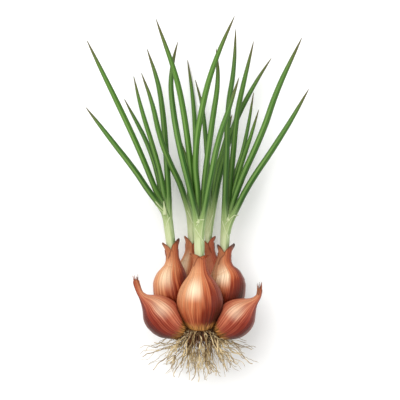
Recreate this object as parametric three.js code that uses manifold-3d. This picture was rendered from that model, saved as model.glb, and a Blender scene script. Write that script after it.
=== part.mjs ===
// Shallot: a lifted clump of seven bulbs with its stems, leaves and roots, lying on its back.
// Millimetres. X runs across the clump, Y from the root tips to the leaf tips, Z up.
// The origin is under the middle of the clump, on the surface that it lies on.
import * as THREE from 'three';
import { mergeVertices } from 'three/addons/utils/BufferGeometryUtils.js';
import Module from 'manifold-3d';

const wasm = await Module();
wasm.setup();

// ---- driving dimensions ----
const gap = 0.35;             // clearance between neighbouring pieces
const skinWall = 0.7;         // papery skin around the neck
const cupDepth = 7;           // how far the stem stands inside the neck
const rimDepth = 2;           // how far below the neck's edge the skin starts to flare
const baseHollow = 0.6;       // how far the middle of a bulb's base is drawn in
const plateThickness = 3;     // woody plate under each bulb, where the roots start
const plateShare = 0.34;      // its radius, as a share of the bulb's
const flapSpan = 1.45;        // how far round a torn point reaches to either side, in radians
const crownCentre = [0, -3, 46];  // back of the woody crown that joins the bulbs
const crownLength = 14;
const crownForm = [[0, 0], [10, 0.5], [14.5, 2.5], [15.5, 6], [12, 10], [0, 13]];
const rootRadius = 0.95;
const rootLead = 5.5;         // how far a root runs straight out of its plate
const rootSwing = 5;          // how far it wanders to either side
const rootSeed = 71;          // gives the roots another way of wandering
const rootSpread = 0.8;       // share of the plate's radius at which the roots start
const leafFlatness = 0.86;    // a leaf is a slightly flattened tube
const bulbSides = 20;
const stemSides = 12;
const leafSides = 6;
const rootSides = 4;

const skin = { color: 0xc06a3c, roughness: 0.42 };
const sideSkin = { color: 0xb0523c, roughness: 0.42 };
const stemTissue = { color: 0xc3d39a, roughness: 0.5 };
const leafTissue = { color: 0x4f8a3f, roughness: 0.5 };
const rootFibre = { color: 0xcdb98a, roughness: 0.85 };
const crownFibre = { color: 0x6b4a1e, roughness: 0.9 };

// Forms: share of the greatest radius, by share of the way from the base to the neck.
const roundForm = [[0, 0.48], [0.045, 0.59], [0.12, 0.74], [0.19, 0.86], [0.265, 0.945], [0.34, 0.99],
  [0.41, 1], [0.485, 0.965], [0.56, 0.895], [0.63, 0.79], [0.705, 0.63], [0.775, 0.46], [0.845, 0.34],
  [0.92, 0.27]];
const tallForm = [[0, 0.36], [0.06, 0.5], [0.14, 0.67], [0.26, 0.87], [0.38, 0.975], [0.5, 1],
  [0.59, 0.97], [0.65, 0.9], [0.71, 0.79], [0.77, 0.64], [0.83, 0.46], [0.88, 0.36], [0.94, 0.29]];
const broadForm = [[0, 0.36], [0.06, 0.5], [0.14, 0.67], [0.26, 0.87], [0.38, 0.975], [0.5, 1],
  [0.6, 0.985], [0.67, 0.94], [0.735, 0.84], [0.795, 0.69], [0.86, 0.49], [0.92, 0.37], [0.97, 0.3]];
const splayedForm = [[0, 0.4], [0.06, 0.55], [0.16, 0.79], [0.26, 0.94], [0.37, 1], [0.48, 0.985],
  [0.56, 0.92], [0.63, 0.83], [0.7, 0.68], [0.76, 0.53], [0.82, 0.37], [0.885, 0.24], [0.95, 0.175]];

// Upright bulbs. spine: base, widest place, neck and stem up to the fork. neck: where the skin
// ends along the spine. flaps: [towards, rise, flare], the torn points of the skin. Angles in
// degrees, 0 on top.
const uprightBulbs = [
  { name: 'front', radius: 20, form: roundForm, neck: 60.5, neckRadius: 4.8, fork: 90, stemRadius: 4.4,
    spine: [[0.2, 4.2, 57], [0, 14, 60.5], [-0.2, 28, 62.5], [-0.5, 48, 63.5], [-0.5, 62, 63.5],
      [-0.7, 79, 63.5], [-1.6, 104, 63]],
    flaps: [[285, 5, 1.8], [80, 3.5, 0.9]] },
  { name: 'left', radius: 16.3, form: tallForm, neck: 69.5, neckRadius: 4.7, fork: 110, stemRadius: 4.15,
    spine: [[-12, 3.5, 41], [-20, 20, 40.5], [-24.9, 40, 40], [-23.4, 56, 40], [-24.4, 69, 40],
      [-26, 83, 40], [-30.5, 117, 39]],
    flaps: [[270, 8, 1.3], [90, 10, 1.8]] },
  { name: 'right', radius: 16.5, form: broadForm, neck: 65.8, neckRadius: 4.8, fork: 97, stemRadius: 4.05,
    spine: [[11, 3.5, 41], [18.5, 20, 40.5], [23.4, 40, 40], [20.6, 56, 40], [21.1, 69, 40],
      [21.6, 84, 40], [23.4, 108, 39.5]],
    flaps: [[270, 9, 0.6], [90, 10.5, 1.7]] },
  { name: 'back_left', radius: 13, form: tallForm, neck: 77.5, neckRadius: 4.1, fork: 107, stemRadius: 3.5,
    spine: [[-6.5, 3, 27.5], [-12, 24, 14], [-13.5, 42, 11.6], [-7.6, 76, 12.5], [-7.6, 90, 12],
      [-8.6, 116, 11]],
    flaps: [[270, 8, 1.2], [100, 6, 0.8]] },
  { name: 'back_right', radius: 13, form: tallForm, neck: 77.5, neckRadius: 3.9, fork: 100, stemRadius: 3.3,
    spine: [[6.5, 3, 27.5], [12, 24, 14], [13.5, 42, 11.6], [7.4, 76, 12.5], [7.6, 88, 12],
      [8.8, 112, 11]],
    flaps: [[260, 6, 0.8], [90, 8, 1.2]] },
];

// Splayed bulbs, whose leaves have died back to a dry closed neck.
const sideBulbs = [
  { name: 'side_left', radius: 16.6, form: splayedForm, neck: 52, neckRadius: 2.7, tail: 65,
    tailRadius: 2.2,
    spine: [[-14.5, 0.8, 57], [-22.7, 7.2, 59.5], [-31.1, 13.7, 61], [-40.5, 23.5, 61], [-48.9, 31.1, 60],
      [-52.9, 37, 59], [-55.4, 46.6, 58]] },
  { name: 'side_right', radius: 16.3, form: splayedForm, neck: 48, neckRadius: 2.4, tail: 57.5,
    tailRadius: 1.6,
    spine: [[14.8, 0, 56.5], [22.5, 6.2, 59], [30.3, 12.6, 60.5], [39.8, 21.5, 60.5], [46.8, 27.9, 59.5],
      [51, 33, 58.5], [51, 39.5, 57.5]] },
];

// Leaves by plant, front ones first. Each has its greatest radius and its line from base to tip.
const leaves = {
  front: [
    [2.8, [[-2.2, 84, 66.2], [-5.4, 110, 67.5], [-13, 141, 66.5], [-18.4, 164, 65], [-22.4, 187.5, 63],
      [-25, 210, 60.5], [-23.4, 233, 58], [-19.2, 250, 56.5]]],
    [2.7, [[0.6, 84, 66.4], [4.6, 110, 69], [10.4, 140, 70.5], [16.2, 167, 70.5], [23.2, 188, 69.5],
      [33.1, 218.5, 67]]],
    [2.8, [[-1.6, 92, 62.8], [-2, 122, 65], [-4.2, 153, 66], [-0.4, 180, 67.5], [4.6, 206, 69.5],
      [14.4, 237, 72], [29.4, 271.5, 73.5]]],
    [2.7, [[-3, 90, 60.5], [-5.6, 113, 60.8], [-7.8, 140, 61.8], [-13.2, 184, 65], [-20.4, 219, 68.5],
      [-37.7, 269.2, 71]]],
    [2.6, [[1.2, 92, 60.2], [3, 122, 60.2], [6.6, 154, 61], [11.6, 189, 62], [15.3, 218, 62],
      [13.8, 244.2, 61]]],
  ],
  left: [
    [2.6, [[-27.4, 92, 42.8], [-27, 112, 40], [-28.6, 141, 30.5], [-32, 186, 24.5], [-36.4, 215, 22],
      [-46, 245.5, 20]]],
    [2.6, [[-28.8, 94, 42.6], [-36.5, 112, 44.5], [-43.4, 121, 45.5], [-57, 141, 47], [-71, 159, 48],
      [-98.1, 193.8, 46]]],
    [2.6, [[-30.2, 102, 39.4], [-36, 117, 41], [-51, 154, 46], [-65, 185, 49], [-97.4, 251.7, 50]]],
    [2.1, [[-29.2, 106, 37.6], [-32.4, 128, 36.4], [-38, 151, 35], [-51.4, 195.5, 33], [-57.4, 220.8, 31]]],
    [2.1, [[-30.6, 104, 36], [-34.4, 123, 34], [-38.2, 141, 32], [-46.2, 164, 29], [-65.2, 201, 24]]],
  ],
  right: [
    [2.7, [[20.8, 84, 42.8], [21.4, 110, 43.6], [23, 154, 43], [24.4, 194, 42.5], [29.2, 229, 42],
      [30.8, 261.7, 41]]],
    [2.7, [[23.2, 84, 42.6], [31, 106, 45], [43.4, 129.5, 46], [60, 154.4, 45.5], [77.6, 182, 43.5],
      [93.6, 209.7, 40]]],
    [2.8, [[23.6, 92, 40.4], [27.6, 109, 41.8], [39.4, 141, 44.5], [53, 171, 46], [67, 210, 46.5],
      [87.7, 254.2, 45]]],
    [2, [[23.8, 95, 37.6], [27.6, 116, 38], [36.5, 147.5, 38.6], [43.3, 168, 38.4], [50.4, 191.4, 37]]],
    [2.5, [[22, 93, 38], [24.4, 114, 37.8], [28, 147.5, 36.6], [32.4, 190, 34], [46.3, 251.5, 31]]],
    [2, [[22.6, 93, 35.2], [24.8, 113, 34], [29.6, 134, 32.6], [36.3, 154.4, 31], [41.8, 179.1, 29],
      [46.3, 206.7, 26]]],
  ],
  back_left: [
    [2.7, [[-8.6, 92, 13.6], [-11.4, 109, 17], [-19, 132, 27.5], [-28.6, 152, 38.4], [-36, 175, 43],
      [-42, 200, 44.5], [-50.4, 223.3, 44.5]]],
    [2.2, [[-8.6, 98, 9.6], [-9.4, 118, 9.5], [-9.8, 140, 10.5], [-15.8, 163.4, 12]]],
    [2.3, [[-6.4, 96, 9.6], [-4.8, 130, 5.6], [-4.2, 170, 2.6], [-6.8, 207, 2.2], [-10.9, 236.2, 1.8]]],
  ],
  back_right: [
    [2.6, [[9.4, 86, 13.4], [13.4, 118, 17.5], [20, 147.5, 20.5], [30.6, 181.8, 23], [49.6, 218.6, 24],
      [61.7, 237.4, 23]]],
    [2.5, [[9.4, 88, 9.4], [13.4, 132, 4.6], [22, 166, 2.9], [27.6, 188, 2.6]]],
    [2.1, [[6.8, 88, 9.2], [7.4, 124, 8], [4.9, 168, 9], [1.9, 195.5, 10], [-3.9, 218.4, 10]]],
  ],
};

// Root tips by tuft: [x, y, z].
const rootTips = {
  front: [[-12.1, -31.3, 47], [-6.5, -40.2, 44], [-2.2, -42.5, 51], [1, -30.6, 57], [6.3, -35.5, 45],
    [-8, -24, 58], [9, -24, 56], [-16, -18, 55], [15.5, -19, 54], [-4, -34, 55], [3, -22, 59], [11, -33, 52]],
  left: [[-39.4, -8.9, 36], [-34.1, -12, 32], [-29.6, -22.7, 33], [-26.7, -28, 26], [-21.7, -38.5, 31],
    [-16.3, -30.6, 38]],
  right: [[44.7, -14.2, 35], [37.2, -13, 33], [28.6, -25.4, 33], [26.4, -31, 26], [23, -34.2, 34],
    [15.2, -36.6, 37]],
  back_left: [[-12, -36, 1.6], [-18, -28, 1.5], [-3.3, -35.9, 3], [-7, -27, 12], [-24, -14, 1.6]],
  back_right: [[12, -33, 1.6], [19, -27, 1.5], [3.4, -30, 4], [7.4, -38, 10], [24, -13, 1.6]],
  side_left: [[-49, -21.1, 42], [-39.7, -31, 44], [-30, -26, 50], [-24, -31, 53]],
  side_right: [[46.1, -27.3, 42], [38.5, -22.7, 46], [31, -28, 50], [21, -31, 53]],
};

const turn = (degrees) => THREE.MathUtils.degToRad(degrees);
const up = new THREE.Vector3(0, 0, 1);
const smooth = (points) => new THREE.CatmullRomCurve3(points.map((p) => new THREE.Vector3(...p)));

// A small repeatable source of numbers from 0 to 1.
function makeRandom(seed) {
  let state = seed;
  return () => {
    state = (state * 16807) % 2147483647;
    return state / 2147483647;
  };
}

// Turns a lathe about Y and bends it along a spine. stations: [radius, distance, ...]. mould
// gives a station's radius and distance at an angle, measured from the top towards +X.
function bentLathe(stations, spine, sides, { flatness = 1, mould = (station) => station } = {}) {
  const profile = stations.map(([radius, distance]) => new THREE.Vector2(radius, distance));
  const lathe = new THREE.LatheGeometry(profile, sides);
  const position = lathe.attributes.position;
  const length = spine.getLength();
  for (let i = 0; i < position.count; i += 1) {
    const angle = (Math.floor(i / stations.length) % sides) / sides * 2 * Math.PI;
    const [radius, distance] = mould(stations[i % stations.length], angle);
    const share = THREE.MathUtils.clamp(distance / length, 0, 1);
    const along = spine.getTangentAt(share);
    const out = up.clone().addScaledVector(along, -up.dot(along)).normalize();
    const across = along.clone().cross(out);
    const point = spine.getPointAt(share)
      .addScaledVector(across, radius * Math.sin(angle))
      .addScaledVector(out, radius * Math.cos(angle) * flatness);
    position.setXYZ(i, point.x, point.y, point.z);
  }
  return lathe;
}

function toSolid(geometry) {
  const bare = geometry.clone();
  bare.deleteAttribute('normal');
  bare.deleteAttribute('uv');
  const merged = mergeVertices(bare, 1e-4);
  const corners = [];
  for (let i = 0; i < merged.index.count; i += 3) {
    const [a, b, c] = [0, 1, 2].map((step) => merged.index.getX(i + step));
    if (a !== b && b !== c && c !== a) corners.push(a, b, c);
  }
  return new wasm.Manifold(new wasm.Mesh({
    numProp: 3,
    vertProperties: new Float32Array(merged.attributes.position.array),
    triVerts: new Uint32Array(corners),
  }));
}

function toMesh(name, solid, finish) {
  const { vertProperties, triVerts } = solid.getMesh();
  const geometry = new THREE.BufferGeometry();
  geometry.setAttribute('position', new THREE.BufferAttribute(vertProperties, 3));
  geometry.setIndex(new THREE.BufferAttribute(triVerts, 1));
  geometry.computeVertexNormals();
  const mesh = new THREE.Mesh(geometry, new THREE.MeshStandardMaterial({ ...finish, metalness: 0 }));
  mesh.name = name;
  return mesh;
}

const largest = (solid) => solid.decompose().sort((a, b) => b.volume() - a.volume())[0];

const scaled = (form, radius, neck, from) => form.map(([share, width]) => [
  radius * width, from + (neck - from) * share]);

// Bulb with a hollow neck: the form up to the neck, the torn rim, and the cup that holds the stem.
function uprightBulb({ radius, form, neck, neckRadius, spine, flaps }) {
  const inner = neckRadius - skinWall;
  const rim = [[neckRadius, neck - rimDepth, 0.1], [neckRadius, neck, 1], [inner, neck, 1],
    [inner, neck - rimDepth]];
  const stations = [[0, gap + baseHollow], ...scaled(form, radius, neck, gap), ...rim,
    [inner, neck - cupDepth], [0, neck - cupDepth]];
  const mould = ([r, distance, torn = 0], angle) => {
    const reach = (direction) => Math.max(0, 1 - Math.acos(Math.cos(angle - turn(direction))) / flapSpan);
    const rise = flaps.reduce((sum, [direction, height]) => sum + height * reach(direction), 0);
    const flare = flaps.reduce((sum, [direction, , out]) => sum + out * reach(direction), 0);
    return [r + flare * torn, distance + rise * torn];
  };
  return toSolid(bentLathe(stations, smooth(spine), bulbSides, { mould }));
}

// Bulb whose neck has dried to a closed tail.
function closedBulb({ radius, form, neck, tail, neckRadius, tailRadius, spine }) {
  const stations = [[0, gap + baseHollow], ...scaled(form, radius, neck, gap), [neckRadius, neck],
    [(neckRadius + tailRadius) / 2, (neck + tail) / 2], [tailRadius, tail], [0, tail]];
  return toSolid(bentLathe(stations, smooth(spine), bulbSides));
}

// The space that a bulb takes up, a gap larger all round.
function bulbSpace({ radius, form, neck, neckRadius, spine }) {
  const outline = [...scaled(form, radius, neck, 0), [neckRadius, neck]];
  const stations = [[0, 0], ...outline.map(([r, distance]) => [r + gap, distance]), [0, neck]];
  return toSolid(bentLathe(stations, smooth(spine), bulbSides));
}

// Stem from inside the neck's cup to the fork, where it closes between the leaves.
function stem({ neck, neckRadius, spine, fork, stemRadius }, grown = 0) {
  const foot = neck - cupDepth + gap;
  const held = neckRadius - skinWall - gap;
  const stations = [[0, foot], [held * 0.96, foot], [held, neck + 1], [stemRadius, neck + 7],
    [stemRadius * 1.04, (neck + fork) / 2 + 4], [stemRadius, fork - 5], [stemRadius * 0.7, fork],
    [stemRadius * 0.28, fork + 4], [0, fork + 5]];
  const swollen = stations.map(([r, distance]) => [
    r && r + grown, distance > fork ? distance + grown : distance]);
  return toSolid(bentLathe(swollen, smooth(spine), stemSides));
}

// Tubular leaf: narrow at the base, widest in its lower third, drawn out to a point.
function leaf([radius, line], grown = 0) {
  const spine = smooth(line);
  const length = spine.getLength();
  const shares = [0, 0.06, 0.16, 0.28, 0.41, 0.54, 0.66, 0.77, 0.87, 0.95];
  const width = (u) => radius * Math.min(1, 0.66 + 2.1 * u) * (1 - u ** 5) ** 0.65;
  const stations = shares.map((u) => [width(u) + grown, u * length]);
  stations.unshift([0, 0]);
  stations.push([0, length]);
  return toSolid(bentLathe(stations, spine, leafSides, { flatness: leafFlatness }));
}

// Centre line of one root: it leaves the plate backwards and wanders to its tip.
function rootLine(start, back, tip, random) {
  const turning = start.clone().addScaledVector(back, rootLead);
  const side = tip.clone().sub(turning).cross(up).normalize();
  const points = [0.02, 0.36, 0.68, 1].map((share) => {
    const swing = (random() - 0.5) * rootSwing * Math.sin(share * Math.PI);
    return turning.clone().lerp(tip, share).addScaledVector(side, swing);
  });
  return new THREE.CatmullRomCurve3([start, ...points]);
}

function root(spine, grown = 0) {
  const length = spine.getLength();
  const stations = [0, 0.2, 0.4, 0.6, 0.8, 1].map((u) => [rootRadius * (1 - 0.5 * u) + grown, u * length]);
  return toSolid(bentLathe([[0, 0], ...stations, [0, length]], spine, rootSides));
}

// Woody plate against a bulb's base, and the direction in which its roots leave it.
function basalPlate({ spine, radius }) {
  const line = smooth(spine);
  const back = line.getTangentAt(0).negate();
  const top = line.getPointAt(0).addScaledVector(back, gap);
  const end = top.clone().addScaledVector(back, plateThickness);
  const wide = radius * plateShare;
  const stations = [[0, 0], [wide * 0.6, 0], [wide, plateThickness * 0.6], [wide, plateThickness],
    [0, plateThickness]];
  const plate = toSolid(bentLathe(stations, new THREE.LineCurve3(end, top), stemSides));
  return { plate, end, back, wide };
}

// The space behind a bulb's base that its plate and the start of its roots take up.
function plateSpace({ spine, radius }) {
  const line = smooth(spine);
  const along = line.getTangentAt(0);
  const front = line.getPointAt(0).addScaledVector(along, 2 * gap);
  const length = plateThickness + rootLead + 3 * gap;
  const behind = front.clone().addScaledVector(along, -length);
  const wide = radius * plateShare + 3 * gap;
  const stations = [[0, 0], [wide, 0], [wide, length], [0, length]];
  return toSolid(bentLathe(stations, new THREE.LineCurve3(behind, front), stemSides));
}

// Centre lines of the roots of one bulb, spread evenly over its plate.
function rootLines(bulb, random) {
  const { end, back, wide } = basalPlate(bulb);
  const across = back.clone().cross(up).normalize();
  const over = across.clone().cross(back);
  const tips = rootTips[bulb.name];
  return tips.map((tip, i) => {
    const angle = i / tips.length * 2 * Math.PI;
    const start = end.clone().addScaledVector(back, -plateThickness * 0.5)
      .addScaledVector(across, wide * rootSpread * Math.cos(angle))
      .addScaledVector(over, wide * rootSpread * Math.sin(angle));
    return rootLine(start, back, new THREE.Vector3(...tip), random);
  });
}

// Woody crown that the bulbs grew from, filling the space between their bases, plates and roots.
function crown(bulbs, lines) {
  const [x, y, z] = crownCentre;
  const axis = smooth([[x, y, z], [x, y + crownLength / 2, z], [x, y + crownLength, z]]);
  const block = toSolid(bentLathe(crownForm, axis, bulbSides));
  const spaces = [...bulbs.map(bulbSpace), ...bulbs.map(plateSpace)];
  lines.forEach((line) => spaces.push(root(line, 2 * gap)));
  return largest(spaces.reduce((solid, space) => solid.subtract(space), block));
}

// What is below the surface that the clump lies on is flattened away.
const tableSize = [400, 600, 60];
const table = toSolid(new THREE.BoxGeometry(...tableSize).translate(0, 100, -tableSize[2] / 2));
const resting = (solid) => largest(solid.subtract(table));

const clump = new THREE.Group();
const random = makeRandom(rootSeed);

// The bulbs grew pressed together: each one gives way to those named before it.
const packing = ['front', 'side_left', 'side_right', 'left', 'right', 'back_left', 'back_right'];
const bulbs = [...uprightBulbs, ...sideBulbs];
const dented = (bulb, whole) => packing.slice(0, packing.indexOf(bulb.name))
  .reduce((solid, name) => solid.subtract(bulbSpace(bulbs.find((other) => other.name === name))), whole);

uprightBulbs.forEach((bulb) => {
  clump.add(toMesh(`${bulb.name}_bulb`, resting(dented(bulb, uprightBulb(bulb))), skin));
  clump.add(toMesh(`${bulb.name}_stem`, stem(bulb), stemTissue));
  const cutters = [stem(bulb, gap)];
  leaves[bulb.name].forEach((shape, i) => {
    const trimmed = cutters.reduce((solid, cutter) => solid.subtract(cutter), leaf(shape));
    clump.add(toMesh(`${bulb.name}_leaf_${i + 1}`, resting(trimmed), leafTissue));
    cutters.push(leaf(shape, gap));
  });
});
sideBulbs.forEach((bulb) => {
  clump.add(toMesh(`${bulb.name}_bulb`, largest(dented(bulb, closedBulb(bulb))), sideSkin));
});
const lines = bulbs.map((bulb) => rootLines(bulb, random));
bulbs.forEach((bulb, i) => {
  const tuft = lines[i].reduce((solid, line) => solid.add(root(line)), basalPlate(bulb).plate);
  clump.add(toMesh(`${bulb.name}_roots`, resting(tuft), rootFibre));
});
clump.add(toMesh('crown', crown(bulbs, lines.flat()), crownFibre));

// The origin is the middle of the clump's outline, on the surface.
const extent = new THREE.Box3().setFromObject(clump);
const middle = extent.getCenter(new THREE.Vector3());
clump.position.set(-middle.x, -middle.y, -extent.min.z);

export default clump;
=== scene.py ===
import math
import random

import bmesh
import bpy
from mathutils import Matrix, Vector, noise
from mathutils.bvhtree import BVHTree


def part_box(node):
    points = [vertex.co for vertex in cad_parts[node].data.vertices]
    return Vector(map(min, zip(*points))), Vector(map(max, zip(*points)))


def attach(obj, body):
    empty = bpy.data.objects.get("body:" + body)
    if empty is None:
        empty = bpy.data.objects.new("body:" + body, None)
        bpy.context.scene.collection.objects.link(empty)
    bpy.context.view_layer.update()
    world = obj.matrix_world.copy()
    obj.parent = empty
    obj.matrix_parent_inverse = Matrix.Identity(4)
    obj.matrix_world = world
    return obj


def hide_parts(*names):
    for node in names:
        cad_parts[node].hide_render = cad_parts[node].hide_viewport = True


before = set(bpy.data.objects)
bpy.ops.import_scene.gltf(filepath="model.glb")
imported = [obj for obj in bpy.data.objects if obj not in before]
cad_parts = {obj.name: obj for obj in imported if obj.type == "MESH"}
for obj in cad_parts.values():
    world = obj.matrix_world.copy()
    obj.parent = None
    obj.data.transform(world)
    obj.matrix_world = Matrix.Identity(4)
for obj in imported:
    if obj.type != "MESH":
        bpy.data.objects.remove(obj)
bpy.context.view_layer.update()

# Shallot clump lying on its back: bulb skins, neck flaps, stems, leaves, roots and crown fibres,
# each fitted to the solid of the same name. Metres.

bpy.ops.object.select_all(action="DESELECT")

mm = 0.001
up = Vector((0, 0, 1))
dice = random.Random(19)
noise.seed_set(19)  # noise_vector would follow the clock
plants = ("front", "left", "right", "back_left", "back_right")
sideBulbs = ("side_left", "side_right")


# measuring the solids

def weldedCopy(node):
    mesh = bmesh.new()
    mesh.from_mesh(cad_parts[node].data)
    bmesh.ops.remove_doubles(mesh, verts=mesh.verts, dist=0.002 * mm)
    mesh.verts.index_update()
    return mesh


def middleOf(points):
    return sum(points, Vector()) / len(points)


# walks away from an end point ring by ring, while each ring has that many points
def ringsFrom(end, count):
    seen, ring, rings = {end}, [end], [(end.co.copy(), 0.0)]
    while True:
        around = {edge.other_vert(point) for point in ring for edge in point.link_edges} - seen
        if len(around) != count:
            return rings
        ring = sorted(around, key=lambda point: point.index)
        seen |= around
        middle = middleOf([point.co for point in ring])
        rings.append((middle, max((point.co - middle).length for point in ring)))


# a smooth line of evenly spaced points through the given ones
def smoothLine(points, step):
    ends = [points[0] * 2 - points[1], *points, points[-1] * 2 - points[-2]]
    fine = []
    for a, b, c, d in zip(ends, ends[1:], ends[2:], ends[3:]):
        for i in range(16):
            t = i / 16
            fine.append(0.5 * (2 * b + (c - a) * t + (2 * a - 5 * b + 4 * c - d) * t * t
                               + (3 * b - a - 3 * c + d) * t ** 3))
    fine.append(points[-1].copy())
    reach = [0.0]
    for a, b in zip(fine, fine[1:]):
        reach.append(reach[-1] + (b - a).length)
    count = max(4, round(reach[-1] / step))
    line, at = [], 0
    for i in range(count + 1):
        target = reach[-1] * i / count
        while at < len(fine) - 2 and reach[at + 1] < target:
            at += 1
        span = max(reach[at + 1] - reach[at], 1e-9)
        line.append(fine[at].lerp(fine[at + 1], (target - reach[at]) / span))
    return line


def lineLength(line):
    return sum((b - a).length for a, b in zip(line, line[1:]))


# the point at a share of the line, with its directions along, out (up) and across
def placeOn(line, share):
    spot = min(max(share, 0.0), 1.0) * (len(line) - 1)
    i = min(int(spot), len(line) - 2)
    point = line[i].lerp(line[i + 1], spot - i)
    before, after = line[max(i - 1, 0)], line[min(i + 2, len(line) - 1)]
    along = (after - before).normalized()
    out = (up - along * up.dot(along)).normalized()
    return point, along, out, along.cross(out)


# the value at a share, from the values that stand at those places
def valueAt(places, values, share):
    for a, b, low, high in zip(places, places[1:], values, values[1:]):
        if share <= b:
            return low + (high - low) * max(0, share - a) / max(b - a, 1e-6)
    return values[-1]


# distance along the line, angle round it (0 on top) and distance from it
def aboutLine(line, spacing, point):
    i = min(range(len(line)), key=lambda k: (line[k] - point).length_squared)
    middle, along, out, across = placeOn(line, i / (len(line) - 1))
    offset = point - middle
    distance = i * spacing + offset.dot(along)
    angle = math.atan2(offset.dot(across), offset.dot(out))
    return distance, angle, (offset - along * offset.dot(along)).length


# building

def only(*pieces):
    bpy.ops.object.select_all(action="DESELECT")
    for piece in pieces:
        piece.select_set(True)
    bpy.context.view_layer.objects.active = pieces[0]


def applyAll(piece):
    only(piece)
    for modifier in list(piece.modifiers):
        bpy.ops.object.modifier_apply(modifier=modifier.name)


def addSubdivision(piece, levels):
    modifier = piece.modifiers.new("smooth", "SUBSURF")
    modifier.levels = modifier.render_levels = levels


# stores three values at each point: way = (cos, sin, share along), growth = (age, share, tone),
# torn = (nearness to a torn edge, 0, 0)
def store(piece, name, values):
    layers = piece.data.attributes
    layer = layers.get(name) or layers.new(name, "FLOAT_VECTOR", "POINT")
    layer.data.foreach_set("vector", [c for value in values for c in value])


templates = {}


# a fresh copy of a unit ball with that many segments and rings
def ballCopy(segments, rings):
    if (segments, rings) not in templates:
        bpy.ops.mesh.primitive_uv_sphere_add(segments=segments, ring_count=rings, radius=1)
        templates[segments, rings] = bpy.context.object
    piece = templates[segments, rings].copy()
    piece.data = piece.data.copy()
    bpy.context.collection.objects.link(piece)
    return piece


# a ball drawn out along a line: bodyAt(share, angle) gives the distance from the line, and
# lies, if given, replaces the way
def drawnBall(name, line, bodyAt, segments, rings, growthAt=None, ease=0.0, flatness=1.0,
              lies=None, mirror=1):
    piece = ballCopy(segments, rings)
    piece.name = piece.data.name = name
    places, ways, growths = {}, [], []
    for point in piece.data.vertices:
        turned = round(math.acos(min(max(-point.co.z, -1.0), 1.0)) / math.pi, 5)
        angle = math.atan2(point.co.x, point.co.y)
        if turned not in places:
            share = turned + ease * math.sin(2 * math.pi * turned) / (2 * math.pi)
            places[turned] = (share, placeOn(line, share), growthAt(share) if growthAt else (0, 0, 0))
        share, (middle, _, out, across), growth = places[turned]
        radius = 0.0 if turned < 1e-4 or turned > 1 - 1e-4 else bodyAt(share, angle)
        point.co = middle + (out * math.cos(angle) * flatness + across * math.sin(angle)) * radius
        point.co.z = max(point.co.z, 0)
        ways.append(lies or (math.cos(angle), mirror * math.sin(angle), share))
        growths.append(growth)
    store(piece, "way", ways)
    store(piece, "growth", growths)
    return piece


def joined(name, pieces):
    only(*pieces)
    if len(pieces) > 1:
        bpy.ops.object.join()
    piece = bpy.context.view_layer.objects.active
    piece.name = piece.data.name = name
    return piece


def finish(piece, material, slot, *nodes):
    only(piece)
    bpy.ops.object.mode_set(mode="EDIT")
    bpy.ops.mesh.select_all(action="SELECT")
    bpy.ops.mesh.normals_make_consistent(inside=False)
    bpy.ops.object.mode_set(mode="OBJECT")
    bpy.ops.object.shade_smooth()
    piece.data.materials.clear()
    piece.data.materials.append(material)
    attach(piece, "root")
    if nodes:
        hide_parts(*nodes)
    bpy.ops.object.select_all(action="DESELECT")


# materials

def colour(code):
    parts = [int(code[i:i + 2], 16) / 255 for i in (0, 2, 4)]
    return (*[c / 12.92 if c <= 0.04045 else ((c + 0.055) / 1.055) ** 2.4 for c in parts], 1.0)


def addNode(tree, kind, settings=None, inputs=None):
    node = tree.nodes.new(kind)
    for key, value in (settings or {}).items():
        setattr(node, key, value)
    for key, value in (inputs or {}).items():
        if isinstance(value, bpy.types.NodeSocket):
            tree.links.new(value, node.inputs[key])
        else:
            node.inputs[key].default_value = value
    return node


def mixed(tree, factor, first, second, blend="MIX"):
    node = addNode(tree, "ShaderNodeMix", {"data_type": "RGBA", "blend_type": blend},
                   {0: factor, 6: first, 7: second})
    return node.outputs[2]


def maths(tree, operation, first, second=0.5, clamp=False):
    node = addNode(tree, "ShaderNodeMath", {"operation": operation, "use_clamp": clamp},
                   {0: first, 1: second})
    return node.outputs[0]


def times(tree, first, second):
    return maths(tree, "MULTIPLY", first, second)


# value + other * amount
def added(tree, value, other, amount):
    return maths(tree, "ADD", value, times(tree, other, amount))


# value moved up and down by a streak that lies about 0.5
def nudged(tree, value, streak, amount):
    return added(tree, value, maths(tree, "SUBTRACT", streak, 0.5), amount)


# a share of one flat colour laid over the body where the mask is 1
def tinted(tree, body, mask, share, code):
    return mixed(tree, times(tree, mask, share), body, colour(code))


# a value stretched from low..high to 0..1
def stretched(tree, value, low, high, smooth=True):
    kind = "SMOOTHSTEP" if smooth else "LINEAR"
    node = addNode(tree, "ShaderNodeMapRange", {"interpolation_type": kind},
                   {"Value": value, "From Min": low, "From Max": high})
    return node.outputs["Result"]


def ramp(tree, value, stops):
    node = addNode(tree, "ShaderNodeValToRGB", None, {"Fac": value})
    points = node.color_ramp.elements
    while len(points) < len(stops):
        points.new(0.5)
    for point, (place, code) in zip(points, stops):
        point.position = place
        point.color = colour(code)
    return node.outputs["Color"]


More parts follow.
